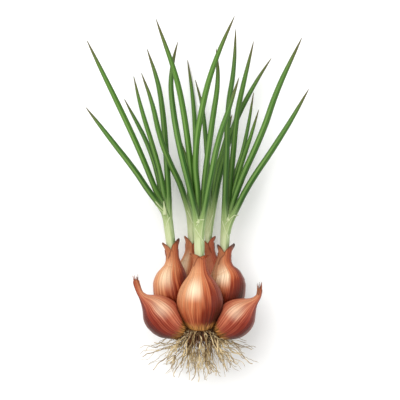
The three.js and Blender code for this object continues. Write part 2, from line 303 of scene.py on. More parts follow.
# Streaks that run lengthwise: fine round the piece, long along it. Lines are their sharp edges.
def makeStreakGroup():
    tree = bpy.data.node_groups.new("lengthwiseStreaks", "ShaderNodeTree")
    for name, kind, value in (("Way", "NodeSocketVector", None), ("Round", "NodeSocketFloat", 6.0),
                              ("Along", "NodeSocketFloat", 1.0), ("Seed", "NodeSocketFloat", 0.0),
                              ("Thinness", "NodeSocketFloat", 12.0)):
        socket = tree.interface.new_socket(name, in_out="INPUT", socket_type=kind)
        if value is not None:
            socket.default_value = value
    for name in ("Streak", "Line"):
        tree.interface.new_socket(name, in_out="OUTPUT", socket_type="NodeSocketFloat")
    given = tree.nodes.new("NodeGroupInput")
    split = addNode(tree, "ShaderNodeSeparateXYZ", None, {0: given.outputs["Way"]})
    x = times(tree, split.outputs[0], given.outputs["Round"])
    y = times(tree, split.outputs[1], given.outputs["Round"])
    z = times(tree, split.outputs[2], given.outputs["Along"])
    z = maths(tree, "ADD", z, given.outputs["Seed"])
    place = addNode(tree, "ShaderNodeCombineXYZ", None, {0: x, 1: y, 2: z})
    cloud = addNode(tree, "ShaderNodeTexNoise", None,
                    {"Vector": place.outputs[0], "Scale": 1.0, "Detail": 3.0, "Roughness": 0.55})
    off = maths(tree, "ABSOLUTE", maths(tree, "SUBTRACT", cloud.outputs[0], 0.5))
    line = maths(tree, "SUBTRACT", 1.0, times(tree, off, given.outputs["Thinness"]), True)
    found = tree.nodes.new("NodeGroupOutput")
    tree.links.new(stretched(tree, cloud.outputs[0], 0.3, 0.7), found.inputs["Streak"])
    tree.links.new(line, found.inputs["Line"])
    return tree


streakGroup = makeStreakGroup()


def streaks(tree, way, around, along, seed=0.0, thinness=12.0):
    node = addNode(tree, "ShaderNodeGroup", {"node_tree": streakGroup})
    tree.links.new(way, node.inputs["Way"])
    for key, value in (("Round", around), ("Along", along), ("Seed", seed), ("Thinness", thinness)):
        node.inputs[key].default_value = value
    return node.outputs["Streak"], node.outputs["Line"]


def startMaterial(name, roughness):
    material = bpy.data.materials.new(name)
    material.use_nodes = True
    tree = material.node_tree
    shader = tree.nodes["Principled BSDF"]
    shader.inputs["Roughness"].default_value = roughness
    return material, tree, shader


def attributeOf(tree, name):
    return addNode(tree, "ShaderNodeAttribute", {"attribute_name": name}).outputs["Vector"]


def partsOf(tree, vector):
    return list(addNode(tree, "ShaderNodeSeparateXYZ", None, {0: vector}).outputs)


def addBump(tree, shader, height, strength, distance):
    bump = addNode(tree, "ShaderNodeBump", None,
                   {"Height": height, "Strength": strength, "Distance": distance})
    tree.links.new(bump.outputs["Normal"], shader.inputs["Normal"])


# streaks as (how many round, how many along); the others are places, widths and strengths, several of them
# setting the painted shade, painted highlight and painted reflection
skin = {
    "broad": (1.6, 1.6), "middling": (6.5, 1.2), "fine": (17.0, 0.8), "threads": (26.0, 1.1),
    "streaky": (0.1, 0.12, 0.2), "top": 0.4, "light": (0.955, 0.3, 0.03), "highlightRange": (0.87, 1.02),
    "highlightBelt": 0.2, "paintedFlank": (0.8, 1.0), "reflectionFrom": (0.08, 0.3), "reflectionShare": 0.3,
    "collarEdge": 0.05, "footShare": 0.85, "neckShare": 0.6, "edgeShadeFrom": (0.82, 0.97), "edgeShadeShare": 0.6,
    "tipFrom": (1.05, 1.16), "gloss": 0.14, "grain": 0.16, "relief": 0.22 * mm,
}


# Dry papery skin with painted light and shade: painted pale copper where it faces up and to the left,
# painted dark red on the far side and below, a painted highlight and a painted pink reflection, with fine
# lengthwise veins and golden fibre at the base.
def makeSkin(name, look):
    material, tree, shader = startMaterial(name, look["roughness"])
    way = attributeOf(tree, "way")
    top, side, along = partsOf(tree, way)
    broad, _ = streaks(tree, way, *skin["broad"], look["seed"])
    middling, _ = streaks(tree, way, *skin["middling"], look["seed"] + 3)
    fine, veins = streaks(tree, way, *skin["fine"], look["seed"] + 7, 16.0)
    _, threads = streaks(tree, way, *skin["threads"], look["seed"] + 9, 10.0)

    # painted shade and light: the tone rises where the skin faces up and falls on the far side and towards
    # the bottom, as light from above and the left would fall
    paintedSlope = stretched(tree, along, look["shadedBelow"], look["litAbove"], False)
    tone = maths(tree, "SUBTRACT", times(tree, top, skin["top"]), times(tree, side, look["far"]))
    tone = added(tree, tone, paintedSlope, look["rise"])
    for streak, amount in zip((broad, middling, fine), skin["streaky"]):
        tone = nudged(tree, tone, streak, amount)
    body = ramp(tree, tone, look["body"])

    # painted highlight: a pale patch where the skin faces up and to the left, in a belt at a set height
    # along the bulb
    toTop, fromSide, uneven = skin["light"]
    highlightAim = maths(tree, "SUBTRACT", times(tree, top, toTop), times(tree, side, fromSide))
    highlightAim = added(tree, highlightAim, fine, uneven)
    highlightBelt = maths(tree, "ABSOLUTE", maths(tree, "SUBTRACT", along, look["highlightAt"]))
    paintedHighlight = times(tree, stretched(tree, highlightAim, *skin["highlightRange"]), stretched(tree, highlightBelt, skin["highlightBelt"], 0.0))
    body = tinted(tree, body, paintedHighlight, look["highlightShare"], look["paintedHighlight"])
    body = tinted(tree, body, veins, look["veins"], look["vein"])
    body = tinted(tree, body, threads, look["threads"], look["thread"])
    # painted reflection: a pink bloom along the far flank, over the painted shade
    paintedFlank = times(tree, stretched(tree, side, *skin["paintedFlank"]), stretched(tree, along, *skin["reflectionFrom"]))
    body = tinted(tree, body, paintedFlank, skin["reflectionShare"], look["rimReflection"])

    ragged = added(tree, along, fine, skin["collarEdge"])
    base = mixed(tree, fine, colour(look["baseDark"]), colour(look["base"]))
    body = mixed(tree, stretched(tree, ragged, look["collar"], look["collar"] - 0.05), body, base)
    foot = stretched(tree, ragged, look["collar"] - 0.06, 0.03)
    body = tinted(tree, body, foot, skin["footShare"], look["foot"])
    neck = mixed(tree, middling, colour(look["neckDark"]), colour(look["neck"]))
    neckFrom = times(tree, stretched(tree, ragged, look["neckFrom"], 1.0), skin["neckShare"])
    body = mixed(tree, neckFrom, body, neck)
    # painted shade: darker towards the flap's side edges, a shadow line beside each lifted edge
    torn = stretched(tree, partsOf(tree, attributeOf(tree, "torn"))[0], *skin["edgeShadeFrom"])
    body = tinted(tree, body, torn, skin["edgeShadeShare"], look["vein"])
    body = mixed(tree, stretched(tree, along, *skin["tipFrom"]), body, colour(look["tip"]))
    tree.links.new(body, shader.inputs["Base Color"])

    rough = maths(tree, "ADD", times(tree, middling, skin["grain"]), look["roughness"] - 0.08)
    tree.links.new(rough, shader.inputs["Roughness"])
    shader.inputs["Specular IOR Level"].default_value = skin["gloss"]
    height = maths(tree, "SUBTRACT", times(tree, fine, 0.6), times(tree, veins, 0.5))
    addBump(tree, shader, height, 0.5, skin["relief"])
    return material


green = {
    "broad": (1.6, 3.0, 1.0), "fine": (7.0, 2.0, 5.0, 9.0), "patchy": 0.45, "darkerLow": (1.9, 0.8),
    "darkerLowShare": 0.5, "uneven": 0.7, "paintedSheen": 0.5, "sheenShare": 0.6, "far": (0.35, 0.95),
    "farShare": 0.7, "lined": (0.3, 0.35), "drift": 0.16, "stemShadeSide": (0.1, 0.85), "stemShadeShare": 0.85,
    "leafFrom": (0.48, 0.85), "dry": (0.82, 1.02), "dryShare": 0.9, "gloss": 0.16, "relief": 0.12 * mm,
}


# Stem and leaf: cream at the neck, through pale green to leaf green, brown and dry at the tip. A painted
# sheen streak runs along each leaf's near side, and painted shade darkens the far side of leaves and
# stems.
def makeGreen(name, look):
    material, tree, shader = startMaterial(name, look["roughness"])
    way = attributeOf(tree, "way")
    side = partsOf(tree, way)[1]
    rise, toTip, tone = partsOf(tree, attributeOf(tree, "growth"))
    broad, _ = streaks(tree, way, *green["broad"])
    fine, lines = streaks(tree, way, *green["fine"])

    leafy = mixed(tree, tone, colour(look["bluish"]), colour(look["yellowish"]))
    leafy = tinted(tree, leafy, broad, green["patchy"], look["dark"])
    # darker towards each leaf's base, near the fork
    leafy = tinted(tree, leafy, stretched(tree, rise, *green["darkerLow"]), green["darkerLowShare"], look["dark"])
    # painted sheen: a pale streak along the leaf's near side
    paintedSheen = maths(tree, "ABSOLUTE", added(tree, side, fine, green["uneven"]))
    paintedSheen = stretched(tree, paintedSheen, green["paintedSheen"], 0.0)
    leafy = tinted(tree, leafy, paintedSheen, green["sheenShare"], look["pale"])
    # painted shade: darker along the leaf's far side
    leafy = tinted(tree, leafy, stretched(tree, side, *green["far"]), green["farShare"], look["edge"])
    leafy = tinted(tree, leafy, lines, green["lined"][0], look["pale"])

    drift = nudged(tree, rise, fine, green["drift"])
    young = ramp(tree, drift, look["stem"])
    # painted shade: darker along the stem's far side
    paintedFlank = stretched(tree, added(tree, side, fine, 0.15), *green["stemShadeSide"])
    young = tinted(tree, young, paintedFlank, green["stemShadeShare"], look["stemShade"])
    young = tinted(tree, young, lines, green["lined"][1], look["stemLine"])

    body = mixed(tree, stretched(tree, drift, *green["leafFrom"]), young, leafy)
    dry = stretched(tree, added(tree, toTip, fine, 0.06), *green["dry"])
    body = tinted(tree, body, dry, green["dryShare"], look["tip"])
    tree.links.new(body, shader.inputs["Base Color"])
    shader.inputs["Specular IOR Level"].default_value = green["gloss"]
    addBump(tree, shader, added(tree, fine, lines, 0.5), 0.3, green["relief"])
    return material


fibre = {"grain": 1600.0, "clouds": (0.38, 0.64), "young": (0.3, 0.0), "varied": 0.5, "relief": 0.1 * mm}


# Root or fibre: one tone drifting into another, dull.
def makeFibre(name, look):
    material, tree, shader = startMaterial(name, look["roughness"])
    place = addNode(tree, "ShaderNodeTexCoord").outputs["Object"]
    cloud = addNode(tree, "ShaderNodeTexNoise", None,
                    {"Vector": place, "Scale": look["scale"], "Detail": 4.0}).outputs[0]
    grain = addNode(tree, "ShaderNodeTexNoise", None,
                    {"Vector": place, "Scale": fibre["grain"], "Detail": 2.0}).outputs[0]
    age, _, tone = partsOf(tree, attributeOf(tree, "growth"))
    cloudy = stretched(tree, cloud, *fibre["clouds"])
    body = mixed(tree, cloudy, colour(look["dark"]), colour(look["light"]))
    body = mixed(tree, stretched(tree, age, *fibre["young"]), body, colour(look["root"]))
    body = tinted(tree, body, tone, fibre["varied"], look["other"])
    tree.links.new(body, shader.inputs["Base Color"])
    addBump(tree, shader, grain, 0.4, fibre["relief"])
    return material


# In each skin look the body ramp runs from the painted shade to the lit colour, several entries set where
# the painted shade and highlight lie, and two of the colours are the painted highlight and the painted
# pink reflection
skinLook = {
    "roughness": 0.42, "seed": 0.0, "veins": 0.45, "threads": 0.04, "collar": 0.155, "neckFrom": 0.8,
    "far": 0.36, "rise": 0.53, "shadedBelow": 0.15, "litAbove": 0.72, "highlightAt": 0.62, "highlightShare": 0.72,
    "body": [(0.0, "340700"), (0.25, "5a0f02"), (0.45, "7a240a"), (0.6, "ad5834"), (0.75, "c0744c"),
             (0.92, "d29468")],
    "vein": "451205", "thread": "e8b484", "paintedHighlight": "fdebc9", "base": "dfa55c", "baseDark": "9c5c22",
    "foot": "52300f", "neck": "b05c34", "neckDark": "742c14", "tip": "4a3026", "rimReflection": "b87868",
}
# the other bulbs' looks move the painted highlight and painted shade to where light falls on each; the
# back right one takes the redder side-bulb colours with more painted shade and almost no painted
# highlight, as if shaded by its neighbours
leftLook = dict(skinLook, seed=4.0, shadedBelow=0.36, litAbove=0.82, highlightAt=0.7, highlightShare=0.56)
rightLook = dict(skinLook, seed=9.0, shadedBelow=0.44, litAbove=0.84, highlightAt=0.74, far=0.42)
backLook = dict(skinLook, seed=14.0, shadedBelow=0.3, litAbove=0.85, highlightAt=0.8, highlightShare=0.6)
sideLook = dict(skinLook, seed=20.0, neckFrom=0.75, collar=0.15, rise=0.37, shadedBelow=0.0, litAbove=0.8,
                far=0.28, highlightAt=0.47, highlightShare=0.38, tip="5e3c28",
                body=[(0.0, "3a0804"), (0.25, "66150b"), (0.45, "8b3120"), (0.6, "b05c42"),
                      (0.75, "ba6f50"), (0.92, "cb8c66")])
shadedLook = dict(sideLook, seed=17.0, collar=0.1, shadedBelow=0.4, litAbove=1.1, highlightShare=0.1)
# of the green colours, one is the painted shade on the leaves' far side, one the painted shade on the
# stems' far side, and the pale one serves both the painted sheen streak and the real pale lines
greenLook = {
    "roughness": 0.42, "bluish": "144a14", "yellowish": "346408", "dark": "0a2c02", "pale": "7a9d4e",
    "edge": "082202", "stem": [(0.0, "bfc49a"), (0.3, "a5b07a"), (0.6, "6f8c3c"), (1.0, "3d661c")],
    "stemShade": "5c7a38", "stemLine": "dfe5c4", "tip": "5a4a30",
}
rootLook = {"roughness": 0.8, "scale": 170.0, "light": "e2cc9e", "dark": "8d7248", "root": "5e3f1a",
            "other": "6f6649"}
fibreLook = {"roughness": 0.9, "scale": 200.0, "light": "6c3a1a", "dark": "301507", "root": "1f1204",
             "other": "8a6530"}
hairLook = {"roughness": 0.9, "scale": 200.0, "light": "74491c", "dark": "3c220a", "root": "c08a44",
            "other": "8f6028"}

# one skin per upright bulb, each with its own painted highlight and painted shade
skinMaterials = {"front": makeSkin("bulbSkin", skinLook), "left": makeSkin("leftSkin", leftLook),
                 "right": makeSkin("rightSkin", rightLook), "back_left": makeSkin("backSkin", backLook),
                 "back_right": makeSkin("shadedSkin", shadedLook)}
sideMaterial = makeSkin("sideBulbSkin", sideLook)
greenMaterial = makeGreen("greenTissue", greenLook)
rootMaterial = makeFibre("paleRoot", rootLook)
fibreMaterial = makeFibre("brownFibre", fibreLook)
hairMaterial = makeFibre("baseHair", hairLook)


# strands

swaying = {"step": 0.6 * mm, "loose": 4, "slow": 0.06, "quick": 0.2, "shiver": 0.22, "knobs": 0.18,
           "clear": 1.4}


# a thin taper through a few points; sway bends it on the way
def strand(points, radius, segments, rings, ending, tone, sway=0.0, lies=None, age=0.0):
    line = smoothLine(points, swaying["step"])
    seed = dice.uniform(0, 90)
    if sway:
        for i, point in enumerate(line):
            free = min(1.0, swaying["loose"] * i / (len(line) - 1))
            slow = noise.noise_vector(Vector((i * swaying["slow"], seed, 0)))
            quick = noise.noise_vector(Vector((i * swaying["quick"], seed, 9)))
            line[i] = point + (slow + quick * swaying["shiver"]) * sway * free
            line[i].z = max(line[i].z, swaying["clear"] * radius)

    def bodyAt(share, angle):
        knobbly = 1 + swaying["knobs"] * noise.noise(Vector((share * 9, seed, angle * 0.3)))
        return radius * (1 - (1 - ending) * share) * knobbly

    def growthAt(share):
        return (age + (1 - age) * share, share, tone)

    return drawnBall("strand", line, bodyAt, segments, rings, growthAt, lies=lies)


baseHair = {"count": 80, "reach": (1.5 * mm, 5 * mm), "radius": (0.12 * mm, 0.26 * mm), "sway": 0.8 * mm}
hairs = []


# a bulb's base: golden fibres lying up its skin, which are given back, and loose ones behind them
def baseFibres(line, radiusAt):
    lying = []

    def onSkin(share, angle, lift):
        middle, along, out, across = placeOn(line, share)
        ray = out * math.cos(angle) + across * math.sin(angle)
        return middle + ray * (radiusAt(max(share, 0.008), angle) + lift), along, ray

    for _ in range(collar["count"]):
        angle = dice.uniform(0, 2 * math.pi)
        top = dice.uniform(*collar["top"])
        lean = dice.uniform(-0.06, 0.06)
        points = [onSkin(top * k, angle + lean * k, 0.12 * mm)[0] for k in (0.02, 0.35, 0.7)]
        points.append(onSkin(top, angle + lean, -0.15 * mm)[0])
        lying.append(strand(points, dice.uniform(*collar["radius"]), 5, 10, 0.5, 1, 0,
                            (math.cos(angle), math.sin(angle), dice.uniform(-0.1, 0.02))))
    for _ in range(baseHair["count"]):
        angle = dice.uniform(0, 2 * math.pi)
        start, along, ray = onSkin(dice.uniform(0.012, 0.05), angle, 0.05 * mm)
        reach = dice.uniform(*baseHair["reach"])
        low = start - along * reach * 0.5 + ray * reach * dice.uniform(-0.15, 0.1)
        tip = start - along * reach + ray * reach * dice.uniform(-0.5, 0.35)
        hairs.append(strand([start, low, tip], dice.uniform(*baseHair["radius"]), 5, 8, 0.3,
                            dice.random(), baseHair["sway"]))
    return lying


# bulbs

bulb = {"segments": 20, "rings": 40, "slices": 14, "swell": 1.018, "levels": 2, "below": 2 * mm}
collar = {"count": 110, "top": (0.06, 0.15), "radius": (0.13 * mm, 0.24 * mm)}
flap = {"foot": 13 * mm, "split": 0.55, "span": 2.15, "paper": 0.28 * mm, "lift": 0.35 * mm,
        "curl": 0.7 * mm, "jag": 0.12, "peel": 0.8 * mm, "wave": 0.4 * mm, "bulge": 0.25 * mm,
        "forward": 0.7, "fade": (0.3, 0.02)}
backFlap = {"turn": 0.7, "rise": 2.5 * mm, "flare": 0.4 * mm, "span": 1.3}

crownMiddle = middleOf(list(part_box("crown")))


# the bulb's own line, from its base to the end of its body, through the middles of cross cuts
def bodyLine(mesh):
    hubs = [v for v in mesh.verts if len(v.link_edges) >= 18]
    hubs.sort(key=lambda v: (v.co - crownMiddle).length)
    start, end = hubs[0].co, hubs[-1].co
    axis = (end - start).normalized()
    length = (end - start).length
    middles = [start.copy()]
    for i in range(1, bulb["slices"]):
        level = length * i / bulb["slices"]
        cut = []
        for edge in mesh.edges:
            a, b = [(v.co - start).dot(axis) - level for v in edge.verts]
            if a * b < 0:
                cut.append(edge.verts[0].co.lerp(edge.verts[1].co, a / (a - b)))
        low = Vector([min(p[k] for p in cut) for k in range(3)])
        high = Vector([max(p[k] for p in cut) for k in range(3)])
        middle = (low + high) / 2
        middles.append(middle + axis * (level - (middle - start).dot(axis)))
    middles.append(end.copy())
    return middles


def skinDistance(tree, line, share, angle):
    middle, _, out, across = placeOn(line, share)
    ray = out * math.cos(angle) + across * math.sin(angle)
    hit = tree.ray_cast(middle + ray * 0.06, -ray)[0]
    return (hit - middle).length if hit else 0.0


# torn skin that wraps half of the neck: its edges slant up across the front to a point that
# leans out; order sets which of two lies on top
def neckFlap(line, neckShare, radiusAt, angle, rise, flare, span, order=0):
    bpy.ops.mesh.primitive_grid_add(x_subdivisions=20, y_subdivisions=30, size=1)
    piece = bpy.context.object
    length = lineLength(line)
    seed = dice.uniform(0, 50)
    split = flap["split"]
    ways, edges = [], []
    for point in piece.data.vertices:
        side, t = point.co.x * 2, point.co.y + 0.5
        edges.append((abs(side) * min(1, max(0.0, t - flap["fade"][order]) * 4), 0, 0))
        free = max(t - split, 0) / (1 - split)
        ragged = 1 + flap["jag"] * noise.noise(Vector((side * 1.2, t * 7, seed))) * min(1, 3 * t)
        width = span * (1 - t) ** 0.72 + 0.2 * t * (1 - t ** 9)
        turned = angle + side * width * ragged
        reach = -flap["foot"] * (1 - t / split) if t < split else rise * free
        share = neckShare + (reach + flap["wave"] * math.sin(side * 7 + seed) * min(1, 2 * t)) / length
        middle, _, out, across = placeOn(line, share)
        lift = flap["lift"] * min(1, 2.5 * t) * (1 + order) + flare * free ** 1.2
        lift += flap["curl"] * free ** 4
        lift += (flap["peel"] * abs(side) ** 4 * min(1, 2 * t)
                 + flap["bulge"] * math.sin(side * 5 + seed) * free)
        radius = radiusAt(min(share, neckShare), turned) + lift
        point.co = middle + (out * math.cos(turned) + across * math.sin(turned)) * radius
        ways.append((math.cos(turned), math.sin(turned), share / neckShare))
    store(piece, "way", ways)
    store(piece, "torn", edges)
    thick = piece.modifiers.new("paper", "SOLIDIFY")
    thick.thickness = flap["paper"]
    thick.offset = 0
    addSubdivision(piece, 1)
    applyAll(piece)
    return piece


def makeUprightBulb(name):
    node = name + "_bulb"
    mesh = weldedCopy(node)
    tree = BVHTree.FromBMesh(mesh)
    stemRings = ringsFrom(stemFoot(name), 12)
    middles = bodyLine(mesh)[:-2] + [ring[0] for ring in stemRings[1:5]]
    line = smoothLine(middles, mm)
    length = lineLength(line)
    rims = {}
    for v in mesh.verts:
        distance, angle, radius = aboutLine(line, length / (len(line) - 1), v.co)
        if distance > 0.6 * length:
            spot = round(angle / (math.pi / 10)) % 20
            if distance > rims.get(spot, (0, 0, 0))[0]:
                rims[spot] = (distance, angle, radius)
    neckShare = min(rim[0] for rim in rims.values()) / length

    # a point of the rim stands above its neighbours and clear of the neck's edge
    def isPoint(spot):
        beside = [rims.get((spot + step) % 20, (0,))[0] for step in (-1, 1)]
        return rims[spot][0] > max(beside) and rims[spot][0] > neckShare * length + 2 * mm

    points = [rims[spot] for spot in rims if isPoint(spot)]

    def radiusAt(share, angle):
        return skinDistance(tree, line, min(share, neckShare - 0.012), angle)

    topShare = neckShare - bulb["below"] / length

    def bodyAt(share, angle):
        radius = radiusAt(share * topShare, angle) * bulb["swell"]
        ridge = 1 + 0.006 * math.sin(angle * 9 + share * 2) * math.sin(math.pi * share)
        return radius * ridge * (0.8 + 0.2 * min(1.0, (1 - share) / 0.03))

    cut = smoothLine([placeOn(line, topShare * i / 30)[0] for i in range(31)], mm)
    body = drawnBall(node, cut, bodyAt, bulb["segments"], bulb["rings"], ease=-0.15)
    addSubdivision(body, bulb["levels"])
    applyAll(body)
    papers = []
    for order, (distance, angle, radius) in enumerate(points):
        forward = angle * flap["forward"]
        outward = radius * abs(math.sin(angle) / math.sin(forward)) - radiusAt(1, angle)
        rise = distance - neckShare * length
        papers.append(neckFlap(line, neckShare, radiusAt, forward, rise, outward, flap["span"], order))
    for angle in (math.pi - backFlap["turn"], math.pi + backFlap["turn"]):
        papers.append(neckFlap(line, neckShare, radiusAt, angle, backFlap["rise"], backFlap["flare"],
                               backFlap["span"]))
    papers += baseFibres(cut, lambda share, angle: skinDistance(tree, cut, share, angle) * bulb["swell"])
    finish(joined(node + "_skin", [body, *papers]), skinMaterials[name], "bulb_skin", node)
    mesh.free()
    return line, neckShare


def stemFoot(name):
    mesh = stemMeshes[name]
    hubs = [v for v in mesh.verts if len(v.link_edges) >= 11]
    return min(hubs, key=lambda v: v.co.y)


tail = {"frays": 14, "girth": 1.7 * mm, "reach": (0.5 * mm, 5.5 * mm), "spread": (1 * mm, 3.4 * mm),
        "radius": (0.5 * mm, 0.85 * mm)}


def makeSideBulb(name):
    node = name + "_bulb"
    mesh = weldedCopy(node)
    tree = BVHTree.FromBMesh(mesh)
    line = smoothLine(bodyLine(mesh), mm)

    def bodyAt(share, angle):
        ridge = 1 + 0.008 * math.sin(angle * 9 + share * 3) * math.sin(math.pi * share)
        wrinkle = 1 + 0.2 * max(share - 0.72, 0) * 4 * (math.sin(angle * 4 + share * 14) + 0.5)
        return skinDistance(tree, line, min(share, 0.985), angle) * bulb["swell"] * ridge * wrinkle

    # mirror turns the way so that the painted shade lies on the lower side of either side bulb
    mirror = -1 if line[-1].x < line[0].x else 1
    body = drawnBall(node, line, bodyAt, bulb["segments"], bulb["rings"], ease=-0.1, mirror=mirror)
    addSubdivision(body, bulb["levels"])
    applyAll(body)
    end, along, out, across = placeOn(line, 1.0)
    frays = [body]
    for i in range(tail["frays"]):
        angle = 2 * math.pi * i / tail["frays"] + dice.uniform(-0.2, 0.2)
        ray = out * math.cos(angle) + across * math.sin(angle)
        start = placeOn(line, dice.uniform(0.82, 0.9))[0] + ray * tail["girth"]
        tip = end + along * dice.uniform(*tail["reach"]) + ray * dice.uniform(*tail["spread"])
        bend = end + ray * tail["girth"] * 1.1 - along * 2 * mm
        frays.append(strand([start, bend, tip], dice.uniform(*tail["radius"]), 8, 12, 0.15, 1, 0,
                            (math.cos(angle), math.sin(angle), 1 + dice.random() * 0.16)))
    frays += baseFibres(line, lambda share, angle: skinDistance(tree, line, share, angle) * bulb["swell"])
    finish(joined(node + "_skin", frays), sideMaterial, "side_bulb_skin", node)
    mesh.free()


# stems and leaves

greening = 60 * mm  # from the neck to full leaf green
stemShape = {"segments": 16, "rings": 28, "swell": 1.02, "foot": 0.3, "footWidth": 0.92}
leafShape = {"segments": 12, "rings": 44, "swell": 1.06, "sheath": 20 * mm, "flatness": 0.88,
             "extra": 2.4 * mm, "tip": 0.5 * mm, "lead": 8 * mm}
stemMeshes = {name: weldedCopy(name + "_stem") for name in plants}


def makeStem(name, neckAt):
    rings = ringsFrom(stemFoot(name), 12)
    line = smoothLine([ring[0] for ring in rings], mm)
    radii = [max(ring[1], 0.3 * mm) for ring in rings]
    length = lineLength(line)
    places = [aboutLine(line, length / (len(line) - 1), ring[0])[0] / length for ring in rings]
    heading = (line[-1] - line[0]).normalized()

    def growthAt(share):
        return ((placeOn(line, share)[0] - neckAt).dot(heading) / greening, 0, 0.5)

    def bodyAt(share, angle):
        least = stemShape["footWidth"] * max(radii) if share < stemShape["foot"] else 0
        return max(valueAt(places, radii, share), least) * stemShape["swell"]

    piece = drawnBall(name + "_stem_tissue", line, bodyAt, stemShape["segments"], stemShape["rings"],
                      growthAt)
    addSubdivision(piece, 2)
    applyAll(piece)
    finish(piece, greenMaterial, "stem", name + "_stem")
    return line


def makeLeaf(node, stemLine, neckAt, stemRadius):
    mesh = weldedCopy(node)
    tip = max(mesh.verts, key=lambda v: v.co.y)
    rings = ringsFrom(tip, 6)[::-1]
    mesh.free()
    first = rings[0][0]
    length = lineLength(stemLine)
    near = aboutLine(stemLine, length / (len(stemLine) - 1), first)[0]
    low = max(0.15, (min(near, length) - leafShape["sheath"]) / length)
    start = placeOn(stemLine, low)[0]
    turn = placeOn(stemLine, min(low + 0.16, 1))[0]
    heading = (rings[0][0] - rings[1][0]).normalized()
    bend = turn.lerp(first + heading * leafShape["lead"], 0.5)
    middles = [ring[0] for ring in rings]
    middles[-1] += (middles[-1] - middles[-2]).normalized() * leafShape["extra"]
    line = smoothLine([start, bend, *middles], mm)
    reach = lineLength(line)
    radii = [stemRadius * 0.94, max(stemRadius * 0.8, rings[0][1])] + [ring[1] for ring in rings]
    spacing = reach / (len(line) - 1)
    places = [0.0, aboutLine(line, spacing, bend)[0] / reach]
    places += [aboutLine(line, spacing, middle)[0] / reach for middle in middles]
    places[-1] = 1.0
    tone = dice.random()
    phase = dice.uniform(0, 6)

    def bodyAt(share, angle):
        ridge = 1 + 0.05 * math.cos(2 * angle + phase + share * 2) + 0.02 * math.cos(5 * angle)
        return max(valueAt(places, radii, share) * leafShape["swell"] * ridge, leafShape["tip"])

    def growthAt(share):
        return ((placeOn(line, share)[0] - neckAt).length / greening, share, tone)

    piece = drawnBall(node + "_tissue", line, bodyAt, leafShape["segments"], leafShape["rings"], growthAt,
                      flatness=leafShape["flatness"])
    addSubdivision(piece, 1)
    applyAll(piece)
    finish(piece, greenMaterial, "leaf", node)
    return piece


# Pale edges where one leaf's sheath wraps another, and the pointed sheath tips in the forks. Each
# point is its height above the neck in millimetres and its place across, in stem radii.
sheathEdges = {
    "front": [[(26.5, -0.75), (19.5, 0.1), (14, 0.9)], [(43, 1.1), (37, 0.7), (31, 0.0), (27.5, -0.5)]],
    "left": [[(41, -2.1), (35.6, -1.15), (31, -0.1)], [(44, -2.0), (38.5, -1.15), (33, -0.1)],
             [(29, 0.5), (23.8, -0.3), (17, -0.9)]],
    "right": [[(29, -0.75), (23, -0.25), (14.5, 0.75)],
              [(37.4, 2.5), (33.8, 1.36), (28.3, 0.25), (25.5, -0.2)]],
    "back_left": [[(30, -0.8), (22, 0.0), (16, 0.8)]],
    "back_right": [[(26, 0.8), (18, 0.1), (12, -0.6)]],
}
sheathTips = {
    "front": [(30, -0.15), (39, 0.0), (46.5, -0.35)],
    "left": [(31, -0.4), (38, -0.38), (47, -0.3)],
    "right": [(29, 0.4), (37, 0.4), (44.5, 0.12)],
}
sheath = {"edge": 0.4 * mm, "tip": 2 * mm, "sink": 0.3 * mm, "pale": 0.26, "green": 0.36}


def makeSheaths(name, stemLine, neckAt, stemRadius, pieces):
    length = lineLength(stemLine)
    neck = aboutLine(stemLine, length / (len(stemLine) - 1), neckAt)[0]
    trees = [BVHTree.FromObject(piece, bpy.context.evaluated_depsgraph_get()) for piece in pieces]

    def onTop(height, aside):
        middle, _, _, across = placeOn(stemLine, (neck + height * mm) / length)
        above = middle + across * aside * stemRadius + up * 30 * mm
        hits = [hit for hit in (tree.ray_cast(above, -up)[0] for tree in trees) if hit]
        return max(hits, key=lambda hit: hit.z) if hits else above - up * 30 * mm

    edges = []
    for route in sheathEdges[name]:
        flat = smoothLine([Vector((height, aside, 0)) for height, aside in route], 0.6)
        edges.append(strand([onTop(p.x, p.y) for p in flat], sheath["edge"], 8, 30, 0.7, 0, 0, (1, 0, 0)))
        store(edges[-1], "growth", [(sheath["pale"], 0, 0)] * len(edges[-1].data.vertices))
    if name in sheathTips:
        route = [onTop(height, aside) - up * sheath["sink"] for height, aside in sheathTips[name]]
        edges.append(strand(route, sheath["tip"], 12, 20, 0.06, 0, 0, (1, 0, 0)))
        store(edges[-1], "growth", [(sheath["green"], 0, 0)] * len(edges[-1].data.vertices))
    finish(joined(name + "_sheath_edges", edges), greenMaterial, "stem")


for name in plants:
    line, neckShare = makeUprightBulb(name)
    neckAt = placeOn(line, neckShare)[0]
    stemLine = makeStem(name, neckAt)
    radius = max(ring[1] for ring in ringsFrom(stemFoot(name), 12))
    greens = [bpy.data.objects[name + "_stem_tissue"]]
    for node in sorted(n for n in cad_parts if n.startswith(name + "_leaf_")):
        greens.append(makeLeaf(node, stemLine, neckAt, radius))
    makeSheaths(name, stemLine, neckAt, radius, greens)
    print("plant", name)
for name in sideBulbs:
    makeSideBulb(name)
    print("bulb", name)


# roots and crown

rootShape = {"fine": 4, "spread": 9 * mm, "stout": (0.48 * mm, 0.62 * mm), "thin": (0.24 * mm, 0.4 * mm),
             "sway": 3.4 * mm, "ending": 0.55}
fan = {"count": 17, "width": 80, "share": 0.46, "reach": (15 * mm, 30 * mm), "spread": 1.5, "age": 0.26,
       "radius": (0.58 * mm, 0.74 * mm)}


